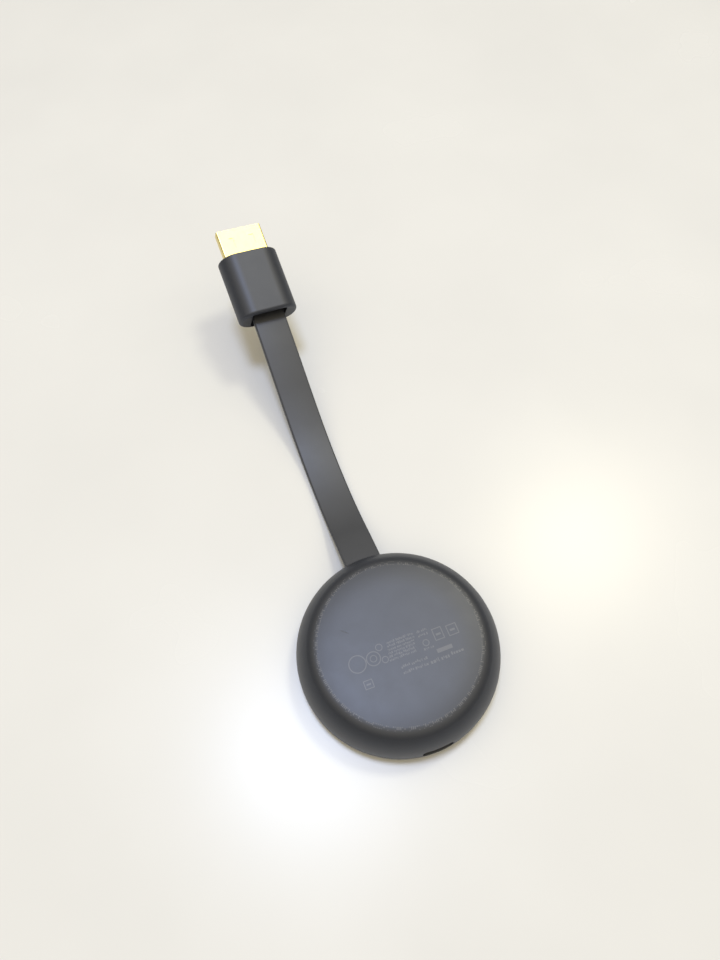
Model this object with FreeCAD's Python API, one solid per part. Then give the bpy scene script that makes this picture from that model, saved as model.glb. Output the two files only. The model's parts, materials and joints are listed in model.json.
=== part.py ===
import FreeCAD, Part
import math
import os

# Streaming media player: a round puck, a flat cable and a 19-way video plug.
# The puck lies on its front cover, so the label face looks up.
# Origin: centre of the puck's front face. +Z is up, and the cable leaves toward +Y.
# All sizes are in millimetres.

# Puck
PUCK_RADIUS = 25.9
PUCK_HEIGHT = 13.8
FRONT_ROUND = 3.2
# The back is flat in the middle and then runs down to the rim in tangent arcs:
# (radius, slope in degrees at the arc's outer end), from the middle outward
BACK_ARCS = ((55.0, 6.0), (4.2, 45.0), (10.3, 90.0))
WALL = 1.4
SEAM_Z = 4.6
SEAM_GAP = 0.1
RIM_EASE = 0.12
GLUE_CLEARANCE = 0.02
LIP_OUTER_R = PUCK_RADIUS - WALL - 0.15
LIP_INNER_R = 23.2
LIP_BASE_Z = 3.4
LIP_TOP_Z = 6.0
# Posts, blocks and the lip's ledge run this far into the wall they stand on
ROOT = 0.3

# Directions of the rim features, in degrees round the puck (+Y is 90)
CABLE_ANGLE = 90.0
PORT_ANGLE = -90.0
BUTTON_ANGLE = -53.9
LIGHT_ANGLE = -139.9

# Rim openings, cut from just inside the wall to just outside the puck
RIM_CUT = (22.8, PUCK_RADIUS + 1)
PORT_WIDTH = 8.0
PORT_HEIGHT = 3.3
PORT_Z = 5.65
PORT_CORNER = 1.2
BUTTON_WIDTH = 7.2
BUTTON_HEIGHT = 1.5
BUTTON_Z = 5.9
BUTTON_FIT = 0.08
BUTTON_SET_BACK = 0.06
BUTTON_FLANGE = (8.4, 2.3)
BUTTON_FLANGE_Y = (22.9, 23.7)
BUTTON_NUB_Y = 21.8
PLUNGER_Y = (19.75, 21.7)
SWITCH = (4.7, 2.0, 1.7)
SWITCH_FRONT_Y = 20.6
LIGHT_RADIUS = 0.5
LIGHT_FIT = 0.05
LIGHT_Z = 5.9
LIGHT_HEAD = (1.8, 1.2)
CABLE_SLOT_WIDTH = 10.3
CABLE_SLOT_BOTTOM = 5.55
CABLE_SLOT_TOP = 8.25

# Cable clamp: two blocks inside the covers hold the moulded anchor
CLAMP = (10.0, 4.5)
CLAMP_Y = 19.25
CLAMP_LOWER_TOP = 5.0
CLAMP_UPPER_BASE = 10.2
ANCHOR_HALF_WIDTH = 5.8
ANCHOR_Y = (16.5, 22.0)

# Board and posts
BOARD_RADIUS = 22.4
BOARD_Z = 6.85
BOARD_THICKNESS = 0.8
BOARD_TOP = BOARD_Z + BOARD_THICKNESS
POST_RING_R = 19.5
POST_ANGLES = (35, 145, 215, 325)
POST_RADIUS = 1.1
PIN_RADIUS = 0.55
PIN_HOLE_RADIUS = 0.65
PIN_TOP = BOARD_TOP + 1.0
# Opening in the board's edge for the anchor: half width and inner end
BOARD_NOTCH = (6.4, 15.9)
CAPACITOR = (1.0, 0.5, 0.5)
CAPACITOR_PITCH = 1.9
# (first x, y, number of capacitors)
CAPACITORS_ABOVE = ((-11.0, 9.4, 8), (-1.0, -9.2, 7))
CAPACITORS_BELOW = ((-10.5, 8.6, 6),)
INDUCTOR = (2.5, 2.0, 1.2)
INDUCTOR_PITCH = 3.6
ANTENNA_R = (21.2, 21.4)
ANTENNA_SPAN = 40
ANTENNA_FOOT_SPAN = 4
ANTENNA_FOOT_SHIFTS = (-17, -5)
ANTENNA_LIFT = 0.9
ANTENNA_HEIGHT = 1.9

# Shield cans, chips and heat path
REAR_CAN = (27.0, 22.0, 2.0)
FRONT_CAN = (26.0, 18.0, 1.8)
FRONT_CAN_Y = 1.0
CAN_SHEET = 0.2
PROCESSOR = (14.0, 14.0, 1.2)
PROCESSOR_PLACE = (-4.5, 1.0)
SPREADER_RADIUS = 14.3
SPREADER_THICKNESS = 1.2

# Cable: one flat ribbon, whose middle line lies in the plane x = 0
RIBBON_WIDTH = 9.9
RIBBON_THICKNESS = 2.0
RIBBON_CORNER = 0.5
# (y, z) points of the middle line, from inside the puck to inside the plug
RIBBON_ROUTE = (
    (20.5, 8.0),
    (29.8, 5.85),
    (40.7, 2.2),
    (53.1, 0.85),
    (66.0, 2.3),
    (78.3, 6.55),
    (90.1, 12.0),
    (99.8, 16.15),
    (108.7, 19.4),
)
ARC_SHARE = 0.45
LEAD_RADIUS = 0.3

# Plug. It is drawn along +Y from its cable end, then turned to the end of the ribbon.
# Roll and yaw, in degrees, are how the free plug happens to lie.
PLUG_ENTRY = 4.5
PLUG_ROLL = 8.0
PLUG_YAW = 1.0
GRIP_WIDTH = 18.3
GRIP_THICKNESS = 10.6
GRIP_LENGTH = 19.5
GRIP_SIDE = 5.2
GRIP_END_ROUND = 0.9
GRIP_FRONT_ROUND = 0.3
GRIP_SLOT = (10.8, 8.4, 3.5)
MOLD = (14.6, 8.0)
MOLD_END_Y = 8.0
CAN_SIZE = (14.6, 6.8)
CAN_END_Y = 15.0
PLUG_SHELL_WIDTH = 13.9
PLUG_SHELL_HEIGHT = 4.45
PLUG_SHELL_WALL = 0.35
PLUG_SHELL_START_Y = 12.6
PLUG_SHELL_REACH = 9.1
PLUG_TIP_Y = GRIP_LENGTH + PLUG_SHELL_REACH
CARRIER_START_Y = 11.9
SLEEVE_START_Y = 17.0
SLEEVE_END_Y = PLUG_TIP_Y - 1.2
PLUG_MOUTH = (12.0, 1.9, 8.5)
CONTACT_START_Y = 11.2
CONTACT_END_Y = PLUG_TIP_Y - 1.9
CONTACT_ROW_Z = 0.85
# Spring windows in the plug shell: x, width, length, depth and distance from the tip
PLUG_DIMPLE_X = 3.2
PLUG_DIMPLE = (1.4, 3.2)
PLUG_DIMPLE_DEPTH = 0.12
PLUG_DIMPLE_BACK = 4.4

# Power socket (micro-B), drawn in the part frame with its mouth toward -Y
USB_WIDTH = 7.5
USB_HEIGHT = 2.5
USB_WALL = 0.25
USB_MOUTH_Y = -24.6
USB_BACK_Y = -19.6

Z_AXIS = FreeCAD.Vector(0, 0, 1)
ORIGIN = FreeCAD.Vector(0, 0, 0)


def vec(x, y, z):
    return FreeCAD.Vector(x, y, z)


def box(x0, x1, y0, y1, z0, z1):
    return Part.makeBox(x1 - x0, y1 - y0, z1 - z0, vec(x0, y0, z0))


def block(cx, cy, z0, size_x, size_y, size_z):
    """A box centred on (cx, cy) that stands on z0."""
    return box(cx - size_x / 2, cx + size_x / 2, cy - size_y / 2, cy + size_y / 2, z0, z0 + size_z)


def disc(radius, z0, z1):
    return Part.makeCylinder(radius, z1 - z0, vec(0, 0, z0))


def ring(inner_r, outer_r, z0, z1):
    return disc(outer_r, z0, z1).cut(disc(inner_r, z0, z1))


def rod_along_y(radius, x, y0, y1, z):
    return Part.makeCylinder(radius, y1 - y0, vec(x, y0, z), vec(0, 1, 0))


def joined(shapes):
    """One solid from shapes that touch or overlap."""
    return shapes[0].multiFuse(shapes[1:]).removeSplitter()


def group(shapes):
    return Part.makeCompound(shapes)


def toward(angle, shape):
    """Turn a shape drawn with its outward side at +Y to a direction round the puck."""
    return shape.rotated(ORIGIN, Z_AXIS, angle - 90.0)


def prism_along_y(points, y0, y1):
    """A straight bar along Y whose section is the polygon of (x, z) points."""
    corners = [vec(x, y0, z) for x, z in points]
    face = Part.Face(Part.makePolygon(corners + corners[:1]))
    return face.extrude(vec(0, y1 - y0, 0))


def round_long_edges(shape, radius):
    """Round the straight edges that run along Y."""
    long_edges = []
    for edge in shape.Edges:
        start = edge.Vertexes[0].Point
        end = edge.Vertexes[-1].Point
        if abs(start.x - end.x) < 1e-6 and abs(start.z - end.z) < 1e-6:
            long_edges.append(edge)
    return shape.makeFillet(radius, long_edges)


def rounded_bar(width, height, corner, y0, y1, z_mid=0.0):
    """A bar along Y with a rounded rectangular section."""
    bar = box(-width / 2, width / 2, y0, y1, z_mid - height / 2, z_mid + height / 2)
    return round_long_edges(bar, corner)


def pill_bar(width, height, y0, y1, z_mid):
    """A bar along Y whose section is a rectangle with half-round ends."""
    radius = height / 2
    side = width / 2 - radius
    middle = box(-side, side, y0, y1, z_mid - radius, z_mid + radius)
    ends = [rod_along_y(radius, x, y0, y1, z_mid) for x in (-side, side)]
    return joined([middle] + ends)


# ---------------------------------------------------------------- puck covers


def on_arc(centre, radius, slope):
    """The point of an arc where its surface slopes by slope degrees."""
    turn = math.radians(slope)
    return centre + vec(radius * math.sin(turn), 0, radius * math.cos(turn))


def back_profile(inset):
    """The back's arcs from its flat middle to the rim, moved inward by inset."""
    reach = 0.0
    slope = 0.0
    for radius, end_slope in BACK_ARCS:
        reach += radius * (math.sin(math.radians(end_slope)) - math.sin(math.radians(slope)))
        slope = end_slope
    arcs = []
    slope = 0.0
    corner = vec(PUCK_RADIUS - reach, 0, PUCK_HEIGHT)
    for radius, end_slope in BACK_ARCS:
        centre = corner - on_arc(ORIGIN, radius, slope)
        inner = radius - inset
        places = [on_arc(centre, inner, angle) for angle in (slope, (slope + end_slope) / 2, end_slope)]
        arcs.append(Part.Arc(*places).toShape())
        corner = on_arc(centre, radius, end_slope)
        slope = end_slope
    return arcs


def puck_solid(inset):
    """The puck's full round body, with every face moved inward by inset."""
    back = back_profile(inset)
    back_edge = back[0].valueAt(back[0].FirstParameter)
    side_high = back[-1].valueAt(back[-1].LastParameter)
    diagonal = math.sqrt(0.5)
    front_flat = PUCK_RADIUS - FRONT_ROUND
    front_arc = FRONT_ROUND - inset
    axis_front = vec(0, 0, inset)
    front_edge = vec(front_flat, 0, inset)
    front_mid = vec(front_flat + front_arc * diagonal, 0, FRONT_ROUND - front_arc * diagonal)
    side_low = vec(front_flat + front_arc, 0, FRONT_ROUND)
    axis_back = vec(0, 0, PUCK_HEIGHT - inset)
    edges = [
        Part.LineSegment(axis_front, front_edge).toShape(),
        Part.Arc(front_edge, front_mid, side_low).toShape(),
        Part.LineSegment(side_low, side_high).toShape(),
        Part.LineSegment(back_edge, axis_back).toShape(),
        Part.LineSegment(axis_back, axis_front).toShape(),
    ]
    outline = Part.Wire(Part.sortEdges(edges + back)[0])
    return Part.Face(outline).revolve(ORIGIN, Z_AXIS, 360)


def puck_wall(z0, z1):
    return puck_solid(0).cut(puck_solid(WALL)).common(disc(PUCK_RADIUS + 1, z0, z1))


def ease_rim(shape, skin, radius, top_z=PUCK_HEIGHT):
    """Round the sharp edges that lie on the outer surface skin, below top_z."""
    sharp = []
    for edge in shape.Edges:
        first, last = edge.ParameterRange
        places = [edge.valueAt(first + (last - first) * share) for share in (0.1, 0.5, 0.9)]
        if edge.BoundBox.ZMax > top_z:
            continue
        if any(skin.distToShape(Part.Vertex(place))[0] > 1e-4 for place in places):
            continue
        normals = []
        for face in shape.ancestorsOfType(edge, Part.Face):
            normals.append(face.normalAt(*face.Surface.parameter(places[1])))
        if len(normals) == 2 and math.degrees(normals[0].getAngle(normals[1])) > 25:
            sharp.append(edge)
    return shape.makeFillet(radius, sharp)


def post_places():
    for angle in POST_ANGLES:
        turn = math.radians(angle)
        yield POST_RING_R * math.cos(turn), POST_RING_R * math.sin(turn)


def port_opening():
    return toward(PORT_ANGLE, rounded_bar(PORT_WIDTH, PORT_HEIGHT, PORT_CORNER, *RIM_CUT, PORT_Z))


def light_hole(radius):
    return toward(LIGHT_ANGLE, rod_along_y(radius, 0, *RIM_CUT, LIGHT_Z))


def button_hole():
    width = BUTTON_WIDTH + 2 * BUTTON_FIT
    height = BUTTON_HEIGHT + 2 * BUTTON_FIT
    return toward(BUTTON_ANGLE, pill_bar(width, height, *RIM_CUT, BUTTON_Z))


def cable_slot():
    """The way out for the ribbon, open at the seam so that the ribbon drops in."""
    below_seam = SEAM_Z - 2.0
    height = CABLE_SLOT_TOP - below_seam
    return rounded_bar(CABLE_SLOT_WIDTH, height, 0.6, *RIM_CUT, below_seam + height / 2)


def post(radius, place, z0, z1):
    return Part.makeCylinder(radius, z1 - z0, vec(*place, z0))


def clamp_block(z0, z1):
    return block(0, CLAMP_Y, z0, *CLAMP, z1 - z0)


def rear_cover():
    shell = puck_wall(SEAM_Z, PUCK_HEIGHT)
    root_z = PUCK_HEIGHT - WALL + ROOT
    posts = [post(POST_RADIUS, place, BOARD_TOP, root_z) for place in post_places()]
    pin_holes = [post(PIN_HOLE_RADIUS, place, BOARD_TOP, PIN_TOP + 0.2) for place in post_places()]
    cover = joined([shell, clamp_block(CLAMP_UPPER_BASE, root_z)] + posts)
    openings = [cable_slot(), port_opening(), button_hole(), light_hole(LIGHT_RADIUS + LIGHT_FIT)]
    for shape in pin_holes + openings:
        cover = cover.cut(shape)
    return ease_rim(cover, puck_solid(0).Shells[0], RIM_EASE)


def lip_windows():
    """Blocks that clear the lip and the adhesive away behind the rim features."""
    seam_low = SEAM_Z - SEAM_GAP
    places = (
        (CABLE_ANGLE, CABLE_SLOT_WIDTH / 2 + ROOT, CABLE_SLOT_BOTTOM),
        (PORT_ANGLE, PORT_WIDTH / 2, SEAM_Z),
        (BUTTON_ANGLE, BUTTON_FLANGE[0] / 2 + 0.4, seam_low),
        (LIGHT_ANGLE, LIGHT_HEAD[0] / 2 + 0.3, seam_low),
    )
    windows = []
    for angle, half_width, z0 in places:
        window = box(-half_width, half_width, 22.0, PUCK_RADIUS, z0, LIP_TOP_Z + 1)
        windows.append(toward(angle, window))
    return windows


def front_cover():
    seam_low = SEAM_Z - SEAM_GAP
    shell = puck_wall(0, seam_low)
    lip = ring(LIP_INNER_R, LIP_OUTER_R, LIP_BASE_Z, LIP_TOP_Z).cut(group(lip_windows()))
    # The ledge joins the lip to the wall below the seam.
    ledge = ring(LIP_INNER_R, PUCK_RADIUS - WALL + ROOT, LIP_BASE_Z, seam_low)
    # This part of the wall reaches above the seam and closes the cable slot from below.
    half = CABLE_SLOT_WIDTH / 2 - 0.1
    slot_filler = puck_wall(seam_low - ROOT, CABLE_SLOT_BOTTOM)
    slot_filler = slot_filler.common(box(-half, half, RIM_CUT[0], PUCK_RADIUS, 0, CABLE_SLOT_BOTTOM))
    root_z = WALL - ROOT
    posts = [post(POST_RADIUS, place, root_z, BOARD_Z) for place in post_places()]
    pins = [post(PIN_RADIUS, place, BOARD_Z - ROOT, PIN_TOP) for place in post_places()]
    clamp = clamp_block(root_z, CLAMP_LOWER_TOP)
    cover = joined([shell, ledge, lip, slot_filler, clamp] + posts + pins).cut(port_opening())
    return ease_rim(cover, puck_solid(0).Shells[0], RIM_EASE, SEAM_Z)


def seam_adhesive():
    inner_r = LIP_OUTER_R + GLUE_CLEARANCE
    band = ring(inner_r, PUCK_RADIUS, SEAM_Z + 0.15, LIP_TOP_Z - 0.1)
    band = band.common(puck_solid(WALL + GLUE_CLEARANCE))
    band = band.cut(group(lip_windows()))
    return band.cut(port_opening())


# ---------------------------------------------------------- board and its parts


def main_board():
    board = disc(BOARD_RADIUS, BOARD_Z, BOARD_TOP)
    for place in post_places():
        board = board.cut(post(PIN_HOLE_RADIUS, place, BOARD_Z, BOARD_TOP))
    half, inner_y = BOARD_NOTCH
    return board.cut(box(-half, half, inner_y, BOARD_RADIUS, BOARD_Z, BOARD_TOP))


def chip_above(cx, cy, size):
    return block(cx, cy, BOARD_TOP, *size)


def chip_below(cx, cy, size):
    return block(cx, cy, BOARD_Z - size[2], *size)


def board_capacitors():
    chips = []
    for first_x, y, count in CAPACITORS_ABOVE:
        chips += [chip_above(first_x + CAPACITOR_PITCH * i, y, CAPACITOR) for i in range(count)]
    for first_x, y, count in CAPACITORS_BELOW:
        chips += [chip_below(first_x + CAPACITOR_PITCH * i, y, CAPACITOR) for i in range(count)]
    return group(chips)


def power_inductors():
    return group([chip_below(-2.0 + INDUCTOR_PITCH * i, -5.4, INDUCTOR) for i in range(3)])


def can_frame(size, y_mid, z0):
    width, depth, height = size
    outer = block(0, y_mid, z0, width, depth, height)
    inner = block(0, y_mid, z0, width - 2 * CAN_SHEET, depth - 2 * CAN_SHEET, height)
    return outer.cut(inner)


def can_lid(size, y_mid, z0):
    return block(0, y_mid, z0, size[0], size[1], CAN_SHEET)


def spreader(z0):
    return disc(SPREADER_RADIUS, z0, z0 + SPREADER_THICKNESS)


def antenna_piece(angle, span, z0, z1):
    """Part of the antenna's ring, span degrees wide."""
    wedge_r = BOARD_RADIUS + 2
    reach = wedge_r * math.tan(math.radians(span / 2))
    corners = [vec(0, 0, z0), vec(-reach, wedge_r, z0), vec(reach, wedge_r, z0), vec(0, 0, z0)]
    wedge = Part.Face(Part.makePolygon(corners)).extrude(vec(0, 0, z1 - z0))
    return toward(angle, wedge).common(ring(*ANTENNA_R, z0, z1))


def antenna(middle_angle):
    """A stamped strip that stands along the rim on two feet."""
    strip_z = BOARD_TOP + ANTENNA_LIFT
    pieces = [antenna_piece(middle_angle, ANTENNA_SPAN, strip_z, strip_z + ANTENNA_HEIGHT)]
    for shift in ANTENNA_FOOT_SHIFTS:
        pieces.append(antenna_piece(middle_angle + shift, ANTENNA_FOOT_SPAN, BOARD_TOP, strip_z + ROOT))
    return joined(pieces)


def status_led():
    return toward(LIGHT_ANGLE, box(-0.8, 0.8, 20.9, 21.7, 5.5, BOARD_Z))


def light_pipe():
    width, height = LIGHT_HEAD
    head = block(0, (22.2 + PUCK_RADIUS) / 2, LIGHT_Z - height / 2, width, PUCK_RADIUS - 22.2, height)
    head = head.common(puck_solid(WALL))
    rod = rod_along_y(LIGHT_RADIUS, 0, *RIM_CUT, LIGHT_Z)
    return toward(LIGHT_ANGLE, joined([head, rod]).common(puck_solid(BUTTON_SET_BACK / 2)))


# ------------------------------------------------------------- reset button


def press_bar(half_width, half_height, y0, y1):
    """A bar on the button's axis, drawn along +Y."""
    return box(-half_width, half_width, y0, y1, BUTTON_Z - half_height, BUTTON_Z + half_height)


def reset_button():
    face = puck_solid(BUTTON_SET_BACK)
    flange_y0, flange_y1 = BUTTON_FLANGE_Y
    stem = pill_bar(BUTTON_WIDTH, BUTTON_HEIGHT, flange_y0, RIM_CUT[1], BUTTON_Z)
    stem = ease_rim(toward(BUTTON_ANGLE, stem).common(face), face.Shells[0], RIM_EASE)
    flange = pill_bar(*BUTTON_FLANGE, flange_y0, flange_y1, BUTTON_Z)
    nub = press_bar(0.8, 0.5, BUTTON_NUB_Y, flange_y0 + 0.1)
    return joined([stem, toward(BUTTON_ANGLE, flange), toward(BUTTON_ANGLE, nub)])


def switch_body():
    width, depth, height = SWITCH
    body = block(0, SWITCH_FRONT_Y - depth / 2, BOARD_Z - height, width, depth, height)
    pocket = press_bar(1.1, 0.55, PLUNGER_Y[0] - 0.45, SWITCH_FRONT_Y)
    return toward(BUTTON_ANGLE, body.cut(pocket))


def switch_plunger():
    return toward(BUTTON_ANGLE, press_bar(1.05, 0.5, *PLUNGER_Y))


# --------------------------------------------------------------- power socket


def usb_outline(inset):
    """Half-hexagon outline of a micro-B socket, narrow side at the board."""
    half = USB_WIDTH / 2 - inset
    top = BOARD_Z - inset
    bottom = BOARD_Z - USB_HEIGHT + inset
    shoulder = BOARD_Z - 0.9 - inset * 0.3
    narrow = half - 0.85
    return [(-narrow, top), (narrow, top), (half, shoulder), (half, bottom), (-half, bottom), (-half, shoulder)]


def usb_shell():
    outer = round_long_edges(prism_along_y(usb_outline(0), USB_MOUTH_Y, USB_BACK_Y), 0.3)
    inner = round_long_edges(prism_along_y(usb_outline(USB_WALL), USB_MOUTH_Y, USB_BACK_Y), 0.1)
    return outer.cut(inner)


def usb_contacts():
    contacts = []
    for i in range(5):
        x = 0.65 * (i - 2)
        blade = box(x - 0.15, x + 0.15, -23.8, -19.0, 5.2, 5.32)
        tail = box(x - 0.15, x + 0.15, -19.12, -19.0, 5.2, BOARD_Z)
        contacts.append(joined([blade, tail]))
    return group(contacts)


def usb_tongue():
    rear = round_long_edges(prism_along_y(usb_outline(USB_WALL), -20.6, USB_BACK_Y), 0.1)
    tongue = box(-1.85, 1.85, -24.0, -20.5, 5.3, 5.95)
    return joined([rear, tongue]).cut(usb_contacts())


# ------------------------------------------------------------------- cable


def ribbon_path():
    """Straight runs joined by tangent arcs. Returns the wire, its length and its radii."""
    points = [vec(0, y, z) for y, z in RIBBON_ROUTE]
    edges = []
    radii = []
    run_start = points[0]
    for before, corner, after in zip(points, points[1:], points[2:]):
        back = (before - corner).normalize()
        ahead = (after - corner).normalize()
        turn = math.pi - back.getAngle(ahead)
        trim = ARC_SHARE * min((corner - before).Length, (after - corner).Length)
        radius = trim / math.tan(turn / 2)
        radii.append(radius)
        arc_start = corner + back * trim
        arc_end = corner + ahead * trim
        inward = (back + ahead).normalize()
        arc_middle = corner + inward * (radius / math.cos(turn / 2) - radius)
        edges.append(Part.LineSegment(run_start, arc_start).toShape())
        edges.append(Part.Arc(arc_start, arc_middle, arc_end).toShape())
        run_start = arc_end
    edges.append(Part.LineSegment(run_start, points[-1]).toShape())
    return Part.Wire(edges), sum(edge.Length for edge in edges), radii


def ribbon_section():
    """The ribbon's rounded rectangle, square to the first run."""
    flat = rounded_bar(RIBBON_WIDTH, RIBBON_THICKNESS, RIBBON_CORNER, 0, 1)
    face = min(flat.Faces, key=lambda f: f.CenterOfMass.y)
    (y0, z0), (y1, z1) = RIBBON_ROUTE[:2]
    slope = math.degrees(math.atan2(z1 - z0, y1 - y0))
    placed = face.rotated(ORIGIN, vec(1, 0, 0), slope)
    placed.translate(vec(0, y0, z0))
    return placed


def ribbon_cable():
    path, length, radii = ribbon_path()
    section = ribbon_section()
    ribbon = path.makePipeShell([section.OuterWire], True, False)
    print("ribbon length %.1f mm, arc radii" % length, ["%.0f" % radius for radius in radii])
    print("ribbon volume %.1f mm3, section times length %.1f mm3" % (ribbon.Volume, section.Area * length))
    return ribbon


def cable_anchor(ribbon):
    half = ANCHOR_HALF_WIDTH
    return box(-half, half, *ANCHOR_Y, CLAMP_LOWER_TOP, CLAMP_UPPER_BASE).cut(ribbon)


def cable_leads():
    z = BOARD_TOP + LEAD_RADIUS
    return group([rod_along_y(LEAD_RADIUS, -3.5 + i, 13.6, ANCHOR_Y[0], z) for i in range(8)])


# -------------------------------------------------------------------- plug


def plug_placement():
    """From the plug's own frame to the end of the ribbon."""
    (y0, z0), (y1, z1) = RIBBON_ROUTE[-2:]
    slope = math.atan2(z1 - z0, y1 - y0)
    start = vec(0, y1 - PLUG_ENTRY * math.cos(slope), z1 - PLUG_ENTRY * math.sin(slope))
    tilt = FreeCAD.Rotation(vec(1, 0, 0), math.degrees(slope))
    roll = FreeCAD.Rotation(vec(0, 1, 0), PLUG_ROLL)
    yaw = FreeCAD.Rotation(Z_AXIS, PLUG_YAW)
    return FreeCAD.Placement(start, tilt.multiply(roll).multiply(yaw))


def in_plug(shape):
    return shape.transformed(plug_placement().toMatrix())


def grip_body():
    """Flat top and bottom with half-elliptical sides, rounded at both ends."""
    half_flat = GRIP_WIDTH / 2 - GRIP_SIDE
    half_height = GRIP_THICKNESS / 2
    edges = []
    for side in (1, -1):
        centre = vec(side * half_flat, 0, 0)
        top = centre + vec(0, 0, side * half_height)
        outermost = centre + vec(side * GRIP_SIDE, 0, 0)
        oval = Part.Ellipse(top, outermost, centre)
        edges.append(Part.LineSegment(vec(-side * half_flat, 0, side * half_height), top).toShape())
        edges.append(Part.ArcOfEllipse(oval, 0, math.pi).toShape())
    section = Part.Face(Part.Wire(Part.sortEdges(edges)[0]))
    body = section.extrude(vec(0, GRIP_LENGTH, 0))
    cable_end = [edge for edge in body.Edges if abs(edge.BoundBox.YMax) < 1e-6]
    body = body.makeFillet(GRIP_END_ROUND, cable_end)
    plug_end = [edge for edge in body.Edges if abs(edge.BoundBox.YMin - GRIP_LENGTH) < 1e-6]
    return body.makeFillet(GRIP_FRONT_ROUND, plug_end)


def plug_outline(inset):
    """D-shaped outline of the 19-way plug, wide side up."""
    half = PLUG_SHELL_WIDTH / 2 - inset
    top = PLUG_SHELL_HEIGHT / 2 - inset
    shoulder = -0.55 - inset * 0.1
    narrow = half - 1.65
    return [(-half, top), (half, top), (half, shoulder), (narrow, -top), (-narrow, -top), (-half, shoulder)]


def plug_core(y0, y1):
    return round_long_edges(prism_along_y(plug_outline(0), y0, y1), 0.5)


def plug_bore(y0, y1):
    return round_long_edges(prism_along_y(plug_outline(PLUG_SHELL_WALL), y0, y1), 0.2)


def mold_block():
    return rounded_bar(MOLD[0], MOLD[1], 1.5, GRIP_SLOT[2], MOLD_END_Y)


def can_block(inset):
    return rounded_bar(CAN_SIZE[0] - 2 * inset, CAN_SIZE[1] - 2 * inset, 1.2 - inset, MOLD_END_Y, CAN_END_Y)


def plug_overmold():
    slot = rounded_bar(GRIP_SLOT[0], GRIP_SLOT[1], 0.8, -1, GRIP_SLOT[2])
    hollow = [slot, mold_block(), can_block(0), plug_core(CAN_END_Y, PLUG_TIP_Y)]
    grip = grip_body()
    for shape in hollow:
        grip = grip.cut(shape)
    return in_plug(grip)


def plug_inner_mold(ribbon):
    return in_plug(mold_block()).cut(ribbon)


def plug_shield_can():
    return in_plug(can_block(0).cut(can_block(CAN_SHEET)))


def plug_shell():
    shell = plug_core(PLUG_SHELL_START_Y, PLUG_TIP_Y).cut(plug_bore(PLUG_SHELL_START_Y, PLUG_TIP_Y))
    depth = PLUG_DIMPLE_DEPTH
    top = PLUG_SHELL_HEIGHT / 2
    for x in (-PLUG_DIMPLE_X, PLUG_DIMPLE_X):
        for z0 in (top - depth, -top - depth):
            shell = shell.cut(block(x, PLUG_TIP_Y - PLUG_DIMPLE_BACK, z0, *PLUG_DIMPLE, 2 * depth))
    return in_plug(shell)


def contact_bars():
    bars = []
    for row_count, z_mid in ((10, CONTACT_ROW_Z), (9, -CONTACT_ROW_Z)):
        for i in range(row_count):
            x = i - (row_count - 1) / 2
            bars.append(box(x - 0.22, x + 0.22, CONTACT_START_Y, CONTACT_END_Y, z_mid - 0.1, z_mid + 0.1))
    return bars


def mouth_bar(y0, y1):
    width, height, _ = PLUG_MOUTH
    return box(-width / 2, width / 2, y0, y1, -height / 2, height / 2)


def plug_insulator():
    """The lining of the plug's mouth, a sleeve open at both ends."""
    sleeve = plug_bore(SLEEVE_START_Y, SLEEVE_END_Y)
    return in_plug(sleeve.cut(mouth_bar(SLEEVE_START_Y, PLUG_TIP_Y)))


def contact_carrier():
    """The block behind the sleeve. Its nose is the back wall of the mouth."""
    flange = plug_bore(CARRIER_START_Y, SLEEVE_START_Y)
    nose = mouth_bar(SLEEVE_START_Y, PLUG_TIP_Y - PLUG_MOUTH[2])
    return in_plug(joined([flange, nose]).cut(group(contact_bars())))


def plug_contacts():
    return in_plug(group(contact_bars()))


def plug_leads():
    leads = []
    for z in (CONTACT_ROW_Z, -CONTACT_ROW_Z):
        for i in range(5):
            leads.append(rod_along_y(LEAD_RADIUS, 2.0 * (i - 2), MOLD_END_Y, CONTACT_START_Y, z))
    return in_plug(group(leads))


# ------------------------------------------------------------------ assembly


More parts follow.
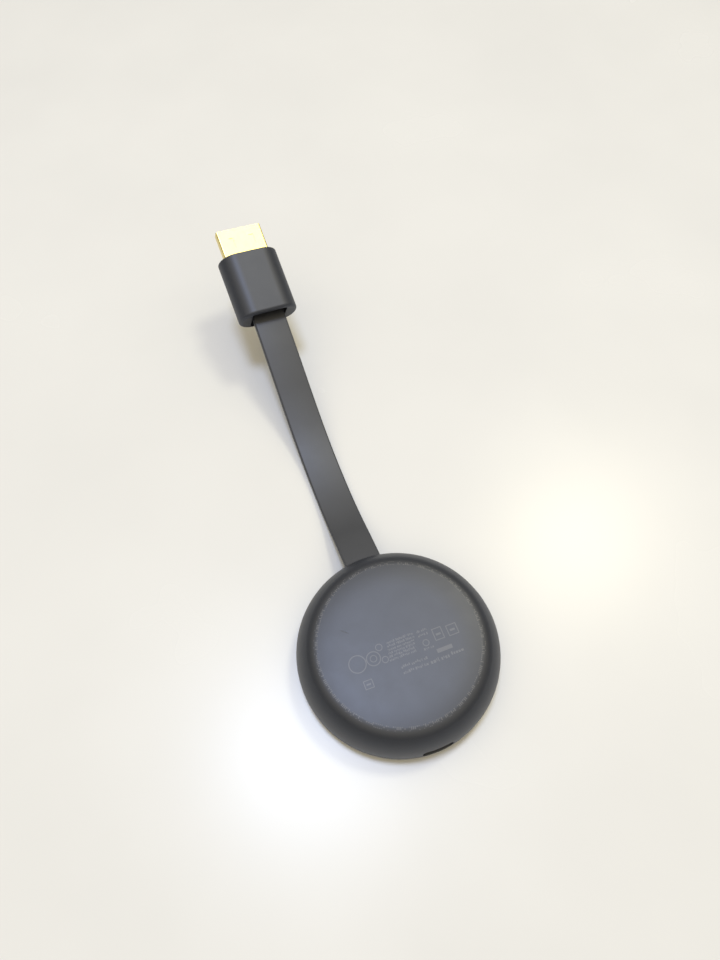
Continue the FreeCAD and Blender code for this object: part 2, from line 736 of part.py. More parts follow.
def build():
    ribbon = ribbon_cable()
    rear_inside = PUCK_HEIGHT - WALL
    rear_lid_z = BOARD_TOP + REAR_CAN[2]
    front_can_z = BOARD_Z - FRONT_CAN[2]
    front_lid_z = front_can_z - CAN_SHEET
    front_spreader_top = WALL + SPREADER_THICKNESS
    rear_spreader_z = rear_inside - SPREADER_THICKNESS
    processor_top = BOARD_TOP + PROCESSOR[2]
    return {
        "rear_cover": rear_cover(),
        "front_cover": front_cover(),
        "seam_adhesive": seam_adhesive(),
        "main_board": main_board(),
        "processor": chip_above(*PROCESSOR_PLACE, PROCESSOR),
        "memory_chip": chip_above(8.0, 1.0, (9.0, 13.0, 1.0)),
        "clock_crystal": chip_above(-5.5, -8.9, (3.2, 2.5, 0.8)),
        "wifi_chip": chip_below(-7.0, 3.0, (8.0, 8.0, 0.9)),
        "flash_chip": chip_below(5.0, 2.5, (9.0, 11.0, 1.0)),
        "power_chip": chip_below(-7.0, -4.5, (4.0, 4.0, 0.8)),
        "power_inductors": power_inductors(),
        "board_capacitors": board_capacitors(),
        "rear_shield_frame": can_frame(REAR_CAN, 0, BOARD_TOP),
        "rear_shield_lid": can_lid(REAR_CAN, 0, rear_lid_z),
        "front_shield_frame": can_frame(FRONT_CAN, FRONT_CAN_Y, front_can_z),
        "front_shield_lid": can_lid(FRONT_CAN, FRONT_CAN_Y, front_lid_z),
        "processor_pad": block(*PROCESSOR_PLACE, processor_top, 13.0, 13.0, rear_lid_z - processor_top),
        "rear_gap_pad": block(0, 0, rear_lid_z + CAN_SHEET, 20.0, 16.0, rear_spreader_z - rear_lid_z - CAN_SHEET),
        "front_gap_pad": block(0, 1.0, front_spreader_top, 16.0, 14.0, front_lid_z - front_spreader_top),
        "rear_heat_spreader": spreader(rear_spreader_z),
        "front_heat_spreader": spreader(WALL),
        "left_antenna": antenna(180),
        "right_antenna": antenna(0),
        "status_led": status_led(),
        "light_pipe": light_pipe(),
        "reset_button": reset_button(),
        "switch_body": switch_body(),
        "switch_plunger": switch_plunger(),
        "usb_shell": usb_shell(),
        "usb_tongue": usb_tongue(),
        "usb_contacts": usb_contacts(),
        "cable_anchor": cable_anchor(ribbon),
        "cable_leads": cable_leads(),
        "ribbon_cable": ribbon,
        "plug_overmold": plug_overmold(),
        "plug_inner_mold": plug_inner_mold(ribbon),
        "plug_shield_can": plug_shield_can(),
        "plug_leads": plug_leads(),
        "plug_shell": plug_shell(),
        "plug_insulator": plug_insulator(),
        "contact_carrier": contact_carrier(),
        "plug_contacts": plug_contacts(),
    }


os.makedirs("parts", exist_ok=True)
for node_name, node_shape in build().items():
    if not node_shape.isValid():
        raise ValueError(node_name + " is not a valid shape")
    node_shape.exportStep("parts/" + node_name + ".step")
    print("%-20s solids %2d  volume %8.2f mm3" % (node_name, len(node_shape.Solids), node_shape.Volume))
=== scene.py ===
"""Streaming media player on a pale table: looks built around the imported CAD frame.

Row frame, in metres: origin at the centre of the puck's front face, +Z up, the cable leaves toward +Y.
Sizes below are in millimetres unless a name says otherwise.
"""

import json
import math
import random

import bmesh
import bpy
from mathutils import Matrix, Vector


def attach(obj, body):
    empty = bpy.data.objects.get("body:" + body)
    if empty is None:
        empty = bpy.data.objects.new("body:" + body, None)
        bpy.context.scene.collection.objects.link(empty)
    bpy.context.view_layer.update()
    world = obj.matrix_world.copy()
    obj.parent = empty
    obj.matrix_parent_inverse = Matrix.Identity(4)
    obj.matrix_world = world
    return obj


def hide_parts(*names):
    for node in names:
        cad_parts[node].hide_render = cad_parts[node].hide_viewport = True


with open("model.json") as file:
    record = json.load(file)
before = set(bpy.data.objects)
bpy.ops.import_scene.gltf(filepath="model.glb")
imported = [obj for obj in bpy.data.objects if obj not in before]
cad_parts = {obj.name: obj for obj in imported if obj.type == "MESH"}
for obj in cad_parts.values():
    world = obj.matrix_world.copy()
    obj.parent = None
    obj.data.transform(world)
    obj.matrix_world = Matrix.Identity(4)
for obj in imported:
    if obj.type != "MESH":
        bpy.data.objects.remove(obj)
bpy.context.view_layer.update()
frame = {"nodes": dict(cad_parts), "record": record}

MM = 0.001
PUCK_RADIUS = 25.9
PUCK_HEIGHT = 13.8
SCENE = bpy.context.scene

# ------------------------------------------------------------------ camera

# Place in millimetres, and the picture's right and down as directions of the row frame
CAMERA_PLACE = (-25.72, -42.07, 191.7)
CAMERA_RIGHT = Vector((0.9348, -0.35515, -0.00318))
CAMERA_DOWN = Vector((-0.31618, -0.82808, -0.46294))
CAMERA_LENS = 27.66
CAMERA_SENSOR = 36.0
CAMERA_CLIP = (0.01, 50.0)


def make_camera():
    data = bpy.data.cameras.new("camera")
    data.lens = CAMERA_LENS
    data.sensor_width = CAMERA_SENSOR
    data.clip_start, data.clip_end = CAMERA_CLIP
    camera = bpy.data.objects.new("camera", data)
    SCENE.collection.objects.link(camera)
    right = CAMERA_RIGHT.normalized()
    up = -(CAMERA_DOWN - right * CAMERA_DOWN.dot(right)).normalized()
    back = right.cross(up)
    turn = Matrix((right, up, back)).transposed()
    camera.matrix_world = Matrix.Translation(Vector(CAMERA_PLACE) * MM) @ turn.to_4x4()
    SCENE.camera = camera


# --------------------------------------------------------------- materials

# Places of the colour sockets of a Mix node, which share their names with its other sockets
MIX_FIRST = 6
MIX_SECOND = 7
MIX_RESULT = 2


class Finish:
    """A procedural material: a Principled shader and short calls that add nodes to it."""

    def __init__(self, name, roughness=0.5, metallic=0.0, **settings):
        self.material = bpy.data.materials.new(name)
        self.material.use_nodes = True
        self.tree = self.material.node_tree
        self.shader = self.tree.nodes["Principled BSDF"]
        self.shader.inputs["Roughness"].default_value = roughness
        self.shader.inputs["Metallic"].default_value = metallic
        for socket, value in settings.items():
            self.shader.inputs[socket.replace("_", " ")].default_value = value
        self.where = self.tree.nodes.new("ShaderNodeTexCoord").outputs["Object"]
        self.height = None

    def node(self, kind, **settings):
        made = self.tree.nodes.new("ShaderNode" + kind)
        for key, value in settings.items():
            if key in made.inputs:
                made.inputs[key].default_value = value
            else:
                setattr(made, key, value)
        return made

    def link(self, source, target):
        self.tree.links.new(source, target)

    def stretched(self, scale):
        """Object coordinates in millimetres, scaled by axis."""
        mapping = self.node("Mapping")
        mapping.inputs["Scale"].default_value = [1.0 / MM * s for s in scale]
        self.link(self.where, mapping.inputs["Vector"])
        return mapping.outputs["Vector"]

    def noise(self, size, detail=2.0, roughness=0.5, scale=(1, 1, 1), distortion=0.0):
        """Noise whose lumps are about size millimetres."""
        made = self.node(
            "TexNoise", Scale=1.0 / size, Detail=detail, Roughness=roughness, Distortion=distortion
        )
        self.link(self.stretched(scale), made.inputs["Vector"])
        return made.outputs["Fac"]

    def cell_edges(self, size, scale):
        """Distance to the edges of cells that are about size millimetres."""
        made = self.node("TexVoronoi", Scale=1.0 / size)
        made.feature = "DISTANCE_TO_EDGE"
        self.link(self.stretched(scale), made.inputs["Vector"])
        return made.outputs["Distance"]

    def spread(self, value, low, high, to_low=0.0, to_high=1.0):
        """Maps low..high of value to to_low..to_high, and clamps it there."""
        made = self.node("MapRange")
        made.clamp = True
        for key, number in (("From Min", low), ("From Max", high), ("To Min", to_low), ("To Max", to_high)):
            made.inputs[key].default_value = number
        self.link(value, made.inputs["Value"])
        return made.outputs["Result"]

    def blend(self, share, first, second):
        """The colour first where share is 0, and the colour second where it is 1."""
        made = self.node("Mix", data_type="RGBA")
        self.link(share, made.inputs["Factor"])
        made.inputs[MIX_FIRST].default_value = (*first, 1.0)
        made.inputs[MIX_SECOND].default_value = (*second, 1.0)
        return made.outputs[MIX_RESULT]

    def colour(self, value):
        self.link(value, self.shader.inputs["Base Color"])

    def rough(self, value):
        self.link(value, self.shader.inputs["Roughness"])

    def bump(self, value, depth):
        """Adds a bump of depth millimetres, on top of any earlier one."""
        made = self.node("Bump", Strength=1.0, Distance=depth * MM)
        self.link(value, made.inputs["Height"])
        if self.height is not None:
            self.link(self.height, made.inputs["Normal"])
        self.height = made.outputs["Normal"]
        self.link(self.height, self.shader.inputs["Normal"])


COVER_COLOUR = (0.022, 0.025, 0.033)
CABLE_COLOUR = (0.038, 0.041, 0.048)
INK_COLOUR = (0.085, 0.087, 0.092)
BUTTON_SHADE = 0.92
GRIP_SHADE = 1.2
# Colour of the plastics' reflection, and how strong it is (0.5 is ordinary plastic)
SHEEN_TINT = (0.84, 0.88, 1.0, 1.0)
COVER_GLOSS = 0.86
CABLE_GLOSS = 0.85
COVER_ROUGHNESS = 0.44
FRONT_ROUGHNESS = 0.43
SOFT_ROUGHNESS = 0.50
# The part of a noise's range that holds most of its values
MIDDLE = (0.3, 0.7)
# Sizes and depths of surface texture, here and below, are in millimetres
MOTTLE_SIZE = 7.0
MOTTLE_CONTRAST = 0.05
SMUDGE_SIZE = 4.5
SMUDGE_ROUGHNESS = 0.012
COVER_GRAIN = 0.16
GRAIN_DEPTH = 0.004
# One short scuff on the label face: its middle, its direction in degrees and its half sizes
SCUFF_PLACE = (-11.7, 7.1)
SCUFF_TURN = -43.0
SCUFF_SIZE = (1.5, 0.22, 1.0)
SCUFF_DEPTH = 0.02
CLOUD_SIZE = 2.5
DRAW_LINE_SIZE = 0.35
TRACK_SIZE = 0.9
BOARD_COLOURS = ((0.012, 0.075, 0.035), (0.008, 0.045, 0.022))
LENS_COLOURS = ((0.022, 0.023, 0.025), (0.032, 0.033, 0.035))

# slot: (colour, roughness, stretch of the rolling lines, line size, line depth, tarnish)
METAL_SLOTS = {
    "plug_gold": ((0.86, 0.73, 0.31), 0.38, (1.0, 0.06, 1.0), 0.12, 0.0015, 0.92),
    "contact_gold": ((0.95, 0.70, 0.30), 0.28, (1.0, 0.1, 1.0), 0.05, 0.002, 0.9),
    "socket_steel": ((0.66, 0.66, 0.65), 0.26, (1.0, 0.1, 1.0), 0.08, 0.002, 0.9),
    "shield_steel": ((0.60, 0.60, 0.58), 0.34, (0.06, 1.0, 1.0), 0.08, 0.002, 0.9),
    "spreader_steel": ((0.50, 0.50, 0.49), 0.48, (1.0, 1.0, 1.0), 0.2, 0.006, 0.9),
    "antenna_metal": ((0.70, 0.68, 0.63), 0.3, (1.0, 1.0, 0.1), 0.08, 0.002, 0.9),
}
# slot: (colour, roughness, grain size, grain depth, contrast)
PLAIN_SLOTS = {
    "black_insulator": ((0.014, 0.014, 0.016), 0.4, 0.2, 0.003, 0.12),
    "switch_plastic": ((0.03, 0.03, 0.03), 0.45, 0.2, 0.003, 0.12),
    "plunger_plastic": ((0.6, 0.59, 0.55), 0.4, 0.2, 0.003, 0.05),
    # Inner mould: black plastic, made darker than the grip. The extra darkness is painted shade for the
    # deep slot at the plug's cable end
    "inner_mold_plastic": ((0.018, 0.018, 0.02), 0.5, 0.4, 0.004, 0.12),
    "lead_rubber": ((0.38, 0.05, 0.04), 0.5, 0.25, 0.004, 0.12),
    "adhesive": ((0.4, 0.39, 0.35), 0.35, 0.5, 0.01, 0.12),
    "gap_pad": ((0.22, 0.29, 0.38), 0.7, 0.3, 0.01, 0.12),
    "chip": ((0.02, 0.02, 0.022), 0.55, 0.12, 0.004, 0.12),
    "ceramic": ((0.36, 0.27, 0.18), 0.5, 0.15, 0.004, 0.12),
}


def scaled(colour, factor):
    return tuple(channel * factor for channel in colour)


def satin_plastic(
    name, colour, roughness=COVER_ROUGHNESS, grain=COVER_GRAIN, depth=GRAIN_DEPTH, gloss=COVER_GLOSS
):
    """Moulded soft-sheen plastic with a fine spark-eroded grain and faint handling marks."""
    made = Finish(name, roughness, Specular_IOR_Level=gloss, Specular_Tint=SHEEN_TINT)
    mottle = made.noise(MOTTLE_SIZE, detail=4.0, roughness=0.6)
    fine = made.noise(grain, detail=2.0)
    dark, light = scaled(colour, 1 - MOTTLE_CONTRAST), scaled(colour, 1 + MOTTLE_CONTRAST)
    made.colour(made.blend(made.spread(mottle, *MIDDLE), dark, light))
    smudge = made.noise(SMUDGE_SIZE, detail=4.0, roughness=0.6, distortion=0.4)
    low, high = roughness - SMUDGE_ROUGHNESS, roughness + SMUDGE_ROUGHNESS
    made.rough(made.spread(smudge, 0.3, 0.72, low, high))
    made.bump(fine, depth)
    return made


def metal(name, colour, roughness, stretch, size, depth, tarnish):
    """Sheet metal with fine rolling lines and slightly uneven sheen."""
    made = Finish(name, roughness, metallic=1.0)
    lines = made.noise(size, detail=3.0, scale=stretch)
    cloud = made.noise(CLOUD_SIZE, detail=3.0, roughness=0.6)
    made.colour(made.blend(made.spread(cloud, 0.3, 0.75), colour, scaled(colour, tarnish)))
    made.rough(made.spread(lines, 0.25, 0.75, roughness - 0.06, roughness + 0.08))
    made.bump(lines, depth)
    return made


def plain_finish(name, colour, roughness, size, depth, contrast):
    """Simple fine-grained finish for small and inner pieces."""
    made = Finish(name, roughness)
    grain = made.noise(size, detail=3.0)
    dark, light = scaled(colour, 1 - contrast), scaled(colour, 1 + contrast)
    made.colour(made.blend(made.spread(grain, *MIDDLE), dark, light))
    made.rough(made.spread(grain, *MIDDLE, roughness - 0.04, roughness + 0.04))
    made.bump(grain, depth)
    return made


def cover_back_finish():
    """The covers' plastic with the scuff."""
    made = satin_plastic("cover_back", COVER_COLOUR)
    place = made.node("Mapping")
    place.vector_type = "TEXTURE"
    place.inputs["Location"].default_value = [c * MM for c in (*SCUFF_PLACE, PUCK_HEIGHT)]
    place.inputs["Rotation"].default_value = (0.0, 0.0, math.radians(SCUFF_TURN))
    place.inputs["Scale"].default_value = [c * MM for c in SCUFF_SIZE]
    made.link(made.where, place.inputs["Vector"])
    scuff = made.node("TexGradient", gradient_type="SPHERICAL")
    made.link(place.outputs["Vector"], scuff.inputs["Vector"])
    made.bump(made.spread(scuff.outputs["Fac"], 0.0, 0.6, 1.0, 0.0), SCUFF_DEPTH)
    return made


def cable_finish():
    """Smooth jacket with faint draw lines along its length."""
    made = satin_plastic(
        "cable_rubber", CABLE_COLOUR, SOFT_ROUGHNESS, grain=0.25, depth=0.003, gloss=CABLE_GLOSS
    )
    draw_lines = made.noise(DRAW_LINE_SIZE, detail=2.0, scale=(1.0, 0.02, 0.02))
    made.bump(draw_lines, depth=0.006)
    return made


def board_finish():
    """Solder mask over a faint pattern of tracks."""
    made = Finish("board", roughness=0.32)
    tracks = made.cell_edges(TRACK_SIZE, scale=(1.0, 0.45, 1.0))
    copper = made.spread(tracks, 0.03, 0.05)
    made.colour(made.blend(copper, *BOARD_COLOURS))
    made.bump(copper, depth=0.02)
    return made


def lens_finish():
    """Smoked lens that lets a little light through, with the light behind it off."""
    made = Finish("light_lens", roughness=0.35, Transmission_Weight=0.3, IOR=1.49)
    cloud = made.noise(0.3, detail=2.0)
    made.colour(made.blend(made.spread(cloud, *MIDDLE), *LENS_COLOURS))
    made.bump(cloud, depth=0.002)
    return made


def make_finishes():
    """One material for each material slot of the record, and one for the ink."""
    button = scaled(COVER_COLOUR, BUTTON_SHADE)
    grip = scaled(COVER_COLOUR, GRIP_SHADE)
    made = {
        "cover_back": cover_back_finish(),
        "cover_front": satin_plastic("cover_front", COVER_COLOUR, FRONT_ROUGHNESS),
        "button_plastic": satin_plastic("button_plastic", button, FRONT_ROUGHNESS, grain=0.12),
        "grip_plastic": satin_plastic("grip_plastic", grip, SOFT_ROUGHNESS, grain=0.14),
        "cable_rubber": cable_finish(),
        "board": board_finish(),
        "light_lens": lens_finish(),
        "label_ink": satin_plastic("label_ink", INK_COLOUR),
    }
    for slot, values in METAL_SLOTS.items():
        made[slot] = metal(slot, *values)
    for slot, values in PLAIN_SLOTS.items():
        made[slot] = plain_finish(slot, *values)
    return {name: finish.material for name, finish in made.items()}


def dress_cad_nodes(finishes):
    """Gives each CAD node the material of its slot in the record."""
    for part in frame["record"]["subparts"]:
        node = frame["nodes"][part["node"]]
        node.data.materials.clear()
        node.data.materials.append(finishes[part["material_slot"]])


# ------------------------------------------------------------ mesh helpers

CRISP_ANGLE = math.radians(40)


def new_piece(name, mesh_build, material, smooth=True):
    """Makes a mesh object from a bmesh build function."""
    build = bmesh.new()
    mesh_build(build)
    bmesh.ops.recalc_face_normals(build, faces=build.faces)
    for face in build.faces:
        face.smooth = smooth
    mesh = bpy.data.meshes.new(name)
    build.to_mesh(mesh)
    build.free()
    piece = bpy.data.objects.new(name, mesh)
    SCENE.collection.objects.link(piece)
    piece.data.materials.append(material)
    return piece


def skin_between(build, rings):
    """Joins closed rings of points, one after the other, and closes both ends."""
    rows = [[build.verts.new(point) for point in ring] for ring in rings]
    for near, far in zip(rows, rows[1:]):
        for i in range(len(near)):
            j = (i + 1) % len(near)
            build.faces.new((near[i], near[j], far[j], far[i]))
    build.faces.new(rows[0])
    build.faces.new(rows[-1])


def sharp_by_angle(piece):
    """Keeps edges sharper than CRISP_ANGLE crisp in the shading."""
    mesh = piece.data
    build = bmesh.new()
    build.from_mesh(mesh)
    for edge in build.edges:
        if len(edge.link_faces) == 2 and edge.calc_face_angle() > CRISP_ANGLE:
            edge.smooth = False
    build.to_mesh(mesh)
    build.free()


# -------------------------------------------------------------------- cable

RIBBON_WIDTH = 9.9
RIBBON_THICKNESS = 2.0
RIBBON_CORNER = 0.5
RIBBON_CORNER_STEPS = 5
# (y, z) control points of the cable's middle line, the same as the part's route
RIBBON_ROUTE = (
    (20.5, 8.0),
    (29.8, 5.85),
    (40.7, 2.2),
    (53.1, 0.85),
    (66.0, 2.3),
    (78.3, 6.55),
    (90.1, 12.0),
    (99.8, 16.15),
    (108.7, 19.4),
)
ROUTE_ORDER = 3
ROUTE_RESOLUTION = 24
# The cable turns by this angle between these two places along +Y
PLUG_ROLL = math.radians(8.0)
TWIST_START_Y = 32.0
TWIST_END_Y = 102.0


def route_line():
    """Points along the smooth spline through the cable's route, in metres."""
    curve = bpy.data.curves.new("route", "CURVE")
    curve.dimensions = "3D"
    curve.resolution_u = ROUTE_RESOLUTION
    spline = curve.splines.new("NURBS")
    spline.points.add(len(RIBBON_ROUTE) - 1)
    for point, (y, z) in zip(spline.points, RIBBON_ROUTE):
        point.co = (0.0, y * MM, z * MM, 1.0)
    spline.order_u = ROUTE_ORDER
    spline.use_endpoint_u = True
    carrier = bpy.data.objects.new("route", curve)
    SCENE.collection.objects.link(carrier)
    bpy.context.view_layer.update()
    evaluated = carrier.evaluated_get(bpy.context.evaluated_depsgraph_get())
    mesh = bpy.data.meshes.new_from_object(evaluated)
    line = [vertex.co.copy() for vertex in mesh.vertices]
    bpy.data.objects.remove(carrier)
    bpy.data.curves.remove(curve)
    bpy.data.meshes.remove(mesh)
    return line


def ribbon_section():
    """Rounded rectangle as (across, up) in millimetres."""
    half_width = RIBBON_WIDTH / 2
    half_height = RIBBON_THICKNESS / 2
    outline = []
    corners = (
        (half_width - RIBBON_CORNER, half_height - RIBBON_CORNER, 0.0),
        (-half_width + RIBBON_CORNER, half_height - RIBBON_CORNER, 90.0),
        (-half_width + RIBBON_CORNER, -half_height + RIBBON_CORNER, 180.0),
        (half_width - RIBBON_CORNER, -half_height + RIBBON_CORNER, 270.0),
    )
    for centre_x, centre_z, start in corners:
        for step in range(RIBBON_CORNER_STEPS + 1):
            angle = math.radians(start + 90.0 * step / RIBBON_CORNER_STEPS)
            across = centre_x + RIBBON_CORNER * math.cos(angle)
            up = centre_z + RIBBON_CORNER * math.sin(angle)
            outline.append((across, up))
    return outline


def smooth_step(value):
    """0 below 0, 1 above 1 and a smooth ramp between them."""
    value = min(1.0, max(0.0, value))
    return value * value * (3.0 - 2.0 * value)


def ribbon_rings(line):
    """The section placed along the line, turned a little more toward the plug."""
    section = ribbon_section()
    rings = []
    for index, point in enumerate(line):
        before = line[max(index - 1, 0)]
        after = line[min(index + 1, len(line) - 1)]
        along = (after - before).normalized()
        across = Vector((1.0, 0.0, 0.0))
        up = across.cross(along)
        share = smooth_step((point.y / MM - TWIST_START_Y) / (TWIST_END_Y - TWIST_START_Y))
        turn = Matrix.Rotation(PLUG_ROLL * share, 3, along)
        across = turn @ across
        up = turn @ up
        rings.append([point + (across * x + up * z) * MM for x, z in section])
    return rings


def make_ribbon(finishes):
    line = route_line()
    rings = ribbon_rings(line)
    ribbon = new_piece("ribbon", lambda build: skin_between(build, rings), finishes["cable_rubber"])
    sharp_by_angle(ribbon)
    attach(ribbon, "puck")
    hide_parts("ribbon_cable")


# -------------------------------------------------------------------- label

# Height of the ink above the surface and its depth below it
INK_THICKNESS = 0.010
INK_SINK = 0.010
# The back's profile, as in the part: flat middle, then tangent arcs of (radius, slope at the outer end)
BACK_ARCS = ((55.0, 6.0), (4.2, 45.0), (10.3, 90.0))
FULL_TURN = 2 * math.pi
RING_STEPS = 40
FRAME_LINE = 0.22
PRINT_SEED = 11
# The band of marks near the edge of the label face
BAND_RADIUS = 20.55
BAND_KINDS = ("tall", "low", "low", "dash")
TALL_MARK = 1.0
LOW_MARK = 0.7
STROKE = 0.23
DASH_LENGTH = 0.34
DASH_LIFTS = (0.0, 0.35)
MARK_GAP = 0.2
GROUP_GAP = 0.9
# How many marks are in the first and in each later group of the band
FIRST_GROUP = (8, 16)
NEXT_GROUPS = (6, 16)
# Angle in radians that stays free where the band closes
BAND_END = 0.03
# The blocks of a print row, as shares of the row's height
BLOCK_WIDTHS = (0.22, 0.4, 0.5, 0.62)
BLOCK_LIFTS = (0.0, 0.0, 0.0, 0.3)
BLOCK_HEIGHTS = (0.7, 0.7, 1.0)
BLOCK_GAP = 0.2
WORD_GAP = 0.6
# How many blocks are in the first and in each later group of a row
FIRST_WORD = (3, 7)
NEXT_WORDS = (3, 8)
# (centre x, centre y, radius, line width)
PLAIN_RINGS = (
    (-11.6, -1.6, 2.1, 0.26),
    (-7.5, -1.7, 1.7, 0.26),
    (-7.5, -1.7, 0.8, 0.22),
    (-4.9, -2.9, 0.75, 0.22),
    (-5.3, 0.4, 0.8, 0.22),
    (5.9, -2.6, 0.75, 0.22),
)
# (left x, lower y, width, height)
PLAIN_FRAMES = ((8.3, -3.1, 2.5, 3.1), (11.9, -3.2, 2.7, 2.8), (-11.9, -8.1, 2.3, 2.2))
PLAIN_BARS = ((7.6, -6.0, 4.0, 1.0), (8.9, -1.9, 1.3, 0.5), (12.6, -2.1, 1.3, 0.5), (-11.3, -7.2, 1.1, 0.4))
# (left x, right x, lower y, height)
PRINT_ROWS = (
    (-3.2, 3.8, 0.45, 0.6),
    (-3.3, 3.8, -0.4, 0.6),
    (-3.5, 3.6, -1.25, 0.6),
    (-3.7, 3.4, -2.1, 0.6),
    (-3.9, 3.2, -2.95, 0.6),
    (-4.0, 2.9, -3.8, 0.6),
    (4.7, 7.3, 0.3, 0.6),
    (4.7, 7.3, -0.8, 0.6),
    (4.8, 7.4, -4.3, 0.6),
    (-2.0, 4.8, -6.4, 0.7),
    (-2.0, 4.6, -7.8, 0.7),
    (5.1, 13.8, -7.9, 1.0),
)


def back_height(x, y):
    """Height of the puck's back surface at (x, y), in millimetres."""
    radii = [radius for radius, _ in BACK_ARCS]
    sines = [0.0] + [math.sin(math.radians(slope)) for _, slope in BACK_ARCS]
    reach = sum(radius * (after - before) for radius, before, after in zip(radii, sines, sines[1:]))
    out, height, slope = PUCK_RADIUS - reach, PUCK_HEIGHT, 0.0
    distance = math.hypot(x, y)
    for radius, end_slope in BACK_ARCS:
        centre_out = out - radius * math.sin(math.radians(slope))
        centre_height = height - radius * math.cos(math.radians(slope))
        end_out = centre_out + radius * math.sin(math.radians(end_slope))
        if distance <= out:
            return height
        if distance <= end_out:
            return centre_height + math.sqrt(radius ** 2 - (distance - centre_out) ** 2)
        out, slope = end_out, end_slope
        height = centre_height + radius * math.cos(math.radians(end_slope))
    return height


def ink_prism(build, outline):
    """A closed thin plate of ink that follows the puck's back, from an outline in millimetres."""
    heights = [back_height(x, y) for x, y in outline]
    points = [(x, y, z) for (x, y), z in zip(outline, heights)]
    bottom = [build.verts.new((x * MM, y * MM, (z - INK_SINK) * MM)) for x, y, z in points]
    top = [build.verts.new((x * MM, y * MM, (z + INK_THICKNESS) * MM)) for x, y, z in points]
    build.faces.new(list(reversed(bottom)))
    build.faces.new(top)
    for i in range(len(outline)):
        j = (i + 1) % len(outline)
        build.faces.new((bottom[i], bottom[j], top[j], top[i]))


def ink_bar(build, x, y, width, height, turn=0.0):
    """A bar whose lower left corner is (x, y), turned about the puck's centre."""
    corners = ((x, y), (x + width, y), (x + width, y + height), (x, y + height))
    cos, sin = math.cos(turn), math.sin(turn)
    ink_prism(build, [(px * cos - py * sin, px * sin + py * cos) for px, py in corners])


def ink_ring(build, cx, cy, radius, line):
    """A plain ring, as a row of short plates that share no edge."""
    outer, inner = radius + line / 2, radius - line / 2
    for i in range(RING_STEPS):
        a = FULL_TURN * i / RING_STEPS
        b = FULL_TURN * (i + 1) / RING_STEPS
        ink_prism(build, [
            (cx + inner * math.cos(a), cy + inner * math.sin(a)),
            (cx + outer * math.cos(a), cy + outer * math.sin(a)),
            (cx + outer * math.cos(b), cy + outer * math.sin(b)),
            (cx + inner * math.cos(b), cy + inner * math.sin(b)),
        ])


def greeked_row(build, draw, x0, x1, y, height):
    """A row of small upright blocks in groups, which stands for a line of print."""
    x = x0
    in_group = draw.randint(*FIRST_WORD)
    while x < x1:
        width = height * draw.choice(BLOCK_WIDTHS)
        lift = height * draw.choice(BLOCK_LIFTS)
        tall = height * draw.choice(BLOCK_HEIGHTS) - lift * 0.5
        ink_bar(build, x, y + lift, min(width, x1 - x), tall)
        in_group -= 1
        x += width + height * (BLOCK_GAP if in_group else WORD_GAP)
        if not in_group:
            in_group = draw.randint(*NEXT_WORDS)


def greeked_band(build, draw):
    """The band of thin strokes and dashes round the label face, each square to the circle."""
    angle = 0.0
    in_group = draw.randint(*FIRST_GROUP)
    base = BAND_RADIUS - TALL_MARK / 2
    while angle < FULL_TURN - BAND_END:
        kind = draw.choice(BAND_KINDS)
        if kind == "dash":
            width, height, lift = DASH_LENGTH, STROKE, draw.choice(DASH_LIFTS)
        else:
            width, height, lift = STROKE, TALL_MARK if kind == "tall" else LOW_MARK, 0.0
        ink_bar(build, -width / 2, base + lift, width, height, -angle)
        in_group -= 1
        gap = MARK_GAP if in_group else GROUP_GAP
        if not in_group:
            in_group = draw.randint(*NEXT_GROUPS)
        angle += (width + gap) / BAND_RADIUS


def ink_frame(build, x, y, width, height):
    """A plain rectangular frame whose lower left corner is (x, y)."""
    line = FRAME_LINE
    ink_bar(build, x, y, width, line)
    ink_bar(build, x, y + height - line, width, line)
    ink_bar(build, x, y + line, line, height - 2 * line)
    ink_bar(build, x + width - line, y + line, line, height - 2 * line)


def label_marks(build):
    """Plain rings, frames, bars and blocks where the real one has its print. No letters and no symbols."""
    draw = random.Random(PRINT_SEED)
    greeked_band(build, draw)
    for cx, cy, radius, line in PLAIN_RINGS:
        ink_ring(build, cx, cy, radius, line)
    for x, y, width, height in PLAIN_FRAMES:
        ink_frame(build, x, y, width, height)
    for x, y, width, height in PLAIN_BARS:
        ink_bar(build, x, y, width, height)
    for x0, x1, y, height in PRINT_ROWS:
        greeked_row(build, draw, x0, x1, y, height)


def make_label(finishes):
    label = new_piece("label_print", label_marks, finishes["label_ink"], smooth=False)
    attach(label, "puck")


# ------------------------------------------------------------ stage, lights

# In metres
TABLE_HALF_SIZE = 3.0
TABLE_CELLS = 8
TABLE_COLOURS = ((0.72, 0.74, 0.77), (0.75, 0.77, 0.80))
TABLE_ROUGHNESS = (0.24, 0.28)
TABLE_GLOSS = 0.32
# In millimetres
TABLE_CLOUD_SIZE = 60.0
# Sine of the height above the horizon, and the world's radiance there
HORIZON = (0.30, (0.130, 0.124, 0.112))
ZENITH = (0.92, (1.14, 0.99, 0.70))
# (name, place in metres, diameter in metres, radiance, colour)
LAMPS = (
    ("lamp_right", (0.785, 0.476, 1.65), 0.36, 22.0, (1.0, 0.94, 0.70)),
    ("lamp_left", (-0.045, 0.235, 1.65), 0.38, 25.5, (0.78, 0.92, 1.25)),
)


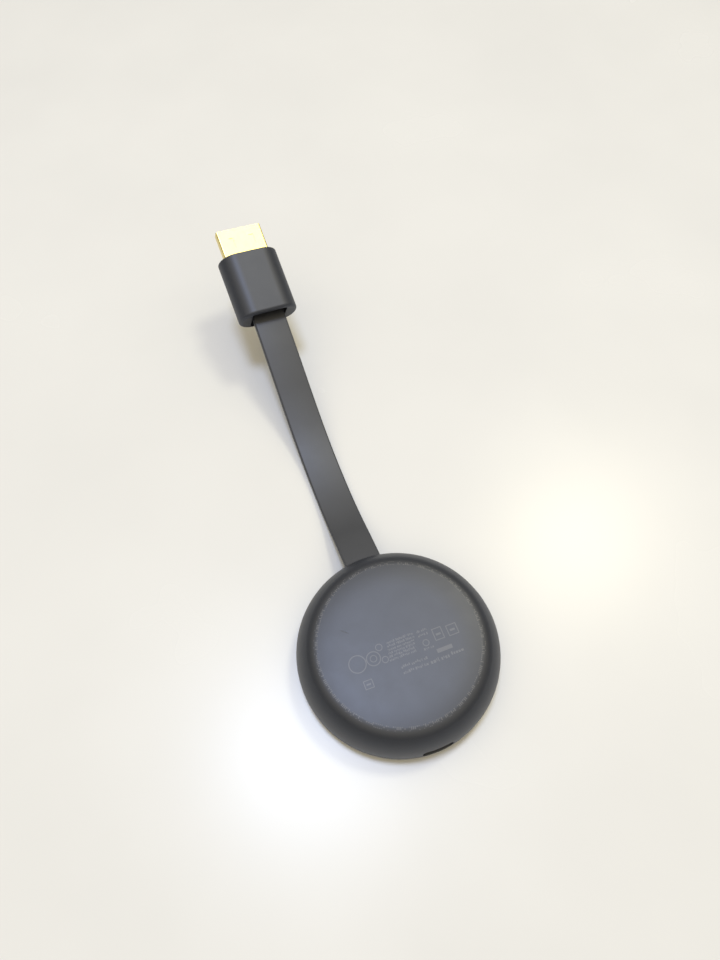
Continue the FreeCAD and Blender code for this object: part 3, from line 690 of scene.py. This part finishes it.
def table_finish():
    """Pale smooth table top with a little sheen."""
    made = Finish("table", Specular_IOR_Level=TABLE_GLOSS)
    cloud = made.noise(TABLE_CLOUD_SIZE, detail=3.0)
    made.colour(made.blend(made.spread(cloud, *MIDDLE), *TABLE_COLOURS))
    made.rough(made.spread(cloud, *MIDDLE, *TABLE_ROUGHNESS))
    return made


def make_table():
    build = bmesh.new()
    bmesh.ops.create_grid(build, x_segments=TABLE_CELLS, y_segments=TABLE_CELLS, size=TABLE_HALF_SIZE)
    mesh = bpy.data.meshes.new("table")
    build.to_mesh(mesh)
    build.free()
    table = bpy.data.objects.new("table", mesh)
    SCENE.collection.objects.link(table)
    table.data.materials.append(table_finish().material)


def disc_lamp(name, place, size, radiance, colour):
    """A round lamp at place, in metres, that faces the puck and has the given radiance."""
    data = bpy.data.lights.new(name, "AREA")
    data.shape = "DISK"
    data.size = size
    data.color = colour
    data.energy = radiance * math.pi * math.pi * (size / 2) ** 2
    lamp = bpy.data.objects.new(name, data)
    SCENE.collection.objects.link(lamp)
    lamp.location = place
    lamp.rotation_mode = "QUATERNION"
    lamp.rotation_quaternion = (-Vector(place)).to_track_quat("-Z", "Y")


def make_world():
    """Room light by height: grey and dim near the horizon, bright and slightly warm overhead."""
    world = bpy.data.worlds.new("studio")
    SCENE.world = world
    world.use_nodes = True
    nodes, links = world.node_tree.nodes, world.node_tree.links
    place = nodes.new("ShaderNodeTexCoord")
    split = nodes.new("ShaderNodeSeparateXYZ")
    ramp = nodes.new("ShaderNodeValToRGB")
    ramp.color_ramp.interpolation = "EASE"
    for stop, (height, radiance) in zip(ramp.color_ramp.elements, (HORIZON, ZENITH)):
        stop.position = height
        stop.color = (*radiance, 1.0)
    links.new(place.outputs["Generated"], split.inputs["Vector"])
    links.new(split.outputs["Z"], ramp.inputs["Fac"])
    links.new(ramp.outputs["Color"], nodes["Background"].inputs["Color"])


def make_lights():
    make_world()
    for lamp in LAMPS:
        disc_lamp(*lamp)
    SCENE.view_settings.view_transform = "Standard"


# ---------------------------------------------------------------- assembly

make_camera()
FINISHES = make_finishes()
dress_cad_nodes(FINISHES)
make_ribbon(FINISHES)
make_label(FINISHES)
make_table()
make_lights()
